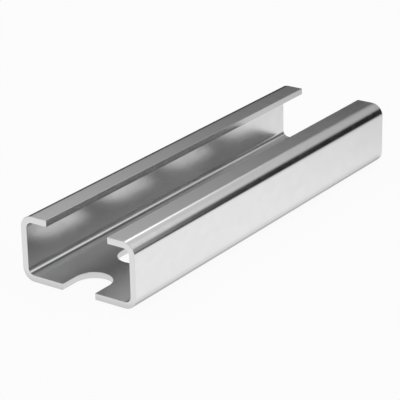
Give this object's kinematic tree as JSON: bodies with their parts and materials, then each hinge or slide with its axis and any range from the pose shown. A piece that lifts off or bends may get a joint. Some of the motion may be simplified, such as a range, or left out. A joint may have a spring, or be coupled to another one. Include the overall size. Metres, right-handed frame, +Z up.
{
  "type": "c-section mounting rail",
  "caption": "Slotted C-section mounting rail in galvanised sheet steel, with inturned lips and long slots along its base, as a short sawn length.",
  "frame": {"origin": "middle of the rail's underside, halfway along its length", "axes": "+Y along the rail, +Z up from the slotted base to the mouth between the lips, +X across the rail"},
  "size_m": [0.03, 0.1, 0.015],
  "materials": {
    "galvanised_steel": "bright zinc coating, smooth, with soft reflections"
  },
  "bodies": {
    "root": {"c_rail": "galvanised_steel"}
  },
  "joints": []
}
